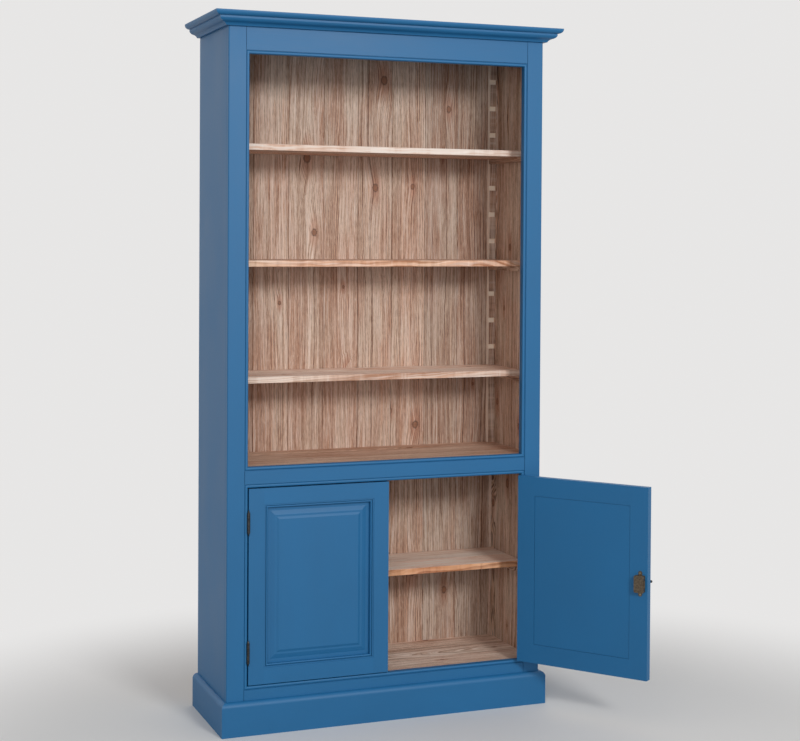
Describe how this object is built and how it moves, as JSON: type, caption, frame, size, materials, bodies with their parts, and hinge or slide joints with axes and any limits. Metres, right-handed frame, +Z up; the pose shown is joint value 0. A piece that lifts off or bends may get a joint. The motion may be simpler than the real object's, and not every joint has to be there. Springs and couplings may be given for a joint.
{
  "type": "bookcase with cabinet doors",
  "caption": "Tall painted pine bookcase with a moulded cornice and plinth, open adjustable shelves above and a two-door cupboard below; one door stands open.",
  "frame": {"origin": "on the floor, midway between the sides, in the plane of the face frame's front", "axes": "+Z up, front faces -Y, +X to the viewer's right"},
  "size_m": [1.2644, 0.7125, 2.1],
  "materials": {
    "blue_paint": "satin blue paint on pine",
    "washed_pine": "grey-brown washed pine, lightly waxed",
    "raw_pine": "bare pine",
    "dark_bronze": "dark antique bronze"
  },
  "bodies": {
    "root": {"back_board_1": "washed_pine", "back_board_2": "washed_pine", "back_board_3": "washed_pine", "back_board_4": "washed_pine", "back_board_5": "washed_pine", "back_board_6": "washed_pine", "back_board_7": "washed_pine", "back_board_8": "washed_pine", "bottom_rail": "blue_paint", "cornice_front": "blue_paint", "cornice_left": "blue_paint", "cornice_right": "blue_paint", "cupboard_floor": "washed_pine", "cupboard_shelf": "washed_pine", "cupboard_shelf_cleats": "raw_pine", "door_opening_bead": "blue_paint", "face_stile_left": "blue_paint", "face_stile_right": "blue_paint", "header_rail": "blue_paint", "hinge_frame_leaves": "dark_bronze", "hinge_frame_screws": "dark_bronze", "hinge_pins": "dark_bronze", "middle_board": "washed_pine", "middle_rail": "blue_paint", "plinth_front": "blue_paint", "plinth_left": "blue_paint", "plinth_right": "blue_paint", "shelf_strip_front_left": "raw_pine", "shelf_strip_front_right": "raw_pine", "shelf_strip_rear_left": "raw_pine", "shelf_strip_rear_right": "raw_pine", "side_panel_left": "blue_paint", "side_panel_right": "blue_paint", "top_board": "blue_paint", "upper_opening_bead": "blue_paint", "upper_shelf_1": "washed_pine", "upper_shelf_2": "washed_pine", "upper_shelf_3": "washed_pine", "upper_shelf_cleats": "raw_pine"},
    "right_door": {"right_door_bottom_rail": "blue_paint", "right_door_hinge_leaves": "dark_bronze", "right_door_hinge_stile": "blue_paint", "right_door_meeting_stile": "blue_paint", "right_door_panel": "blue_paint", "right_door_screws": "dark_bronze", "right_door_top_rail": "blue_paint", "latch_case": "dark_bronze", "knob_rose": "dark_bronze"},
    "left_door": {"left_door_bottom_rail": "blue_paint", "left_door_hinge_leaves": "dark_bronze", "left_door_hinge_stile": "blue_paint", "left_door_meeting_stile": "blue_paint", "left_door_panel": "blue_paint", "left_door_screws": "dark_bronze", "left_door_top_rail": "blue_paint", "meeting_strip": "blue_paint", "barrel_bolt_plate": "dark_bronze"},
    "turn_knob": {"turn_knob": "dark_bronze"},
    "latch_bolt": {"latch_bolt": "dark_bronze"},
    "door_bolt": {"barrel_bolt_rod": "dark_bronze"}
  },
  "joints": [
    {"name": "left_door_hinge", "type": "hinge", "parent": "root", "child": "left_door", "pos_m": [-0.437, -0.003, 0.4284], "axis": [0, 0, -1], "range_deg": [0, 180]},
    {"name": "right_door_hinge", "type": "hinge", "parent": "root", "child": "right_door", "pos_m": [0.437, -0.003, 0.4284], "axis": [0, 0, 1], "range_deg": [-127, 53]},
    {"name": "knob_turn", "type": "hinge", "parent": "right_door", "child": "turn_knob", "pos_m": [0.68555, -0.33284, 0.431], "axis": [0.7986, 0.6018, 0], "range_deg": [0, 90]},
    {"name": "latch_throw", "type": "slide", "parent": "right_door", "child": "latch_bolt", "axis": [0.6018, -0.7986, 0], "range_m": [0, 0.00707]},
    {"name": "door_bolt_slide", "type": "slide", "parent": "left_door", "child": "door_bolt", "axis": [0, 0, 1], "range_m": [0, 0.014]}
  ],
  "couplings": [
    {"joint": "latch_throw", "follows": "knob_turn", "m_per_rad": 0.0045015}
  ]
}
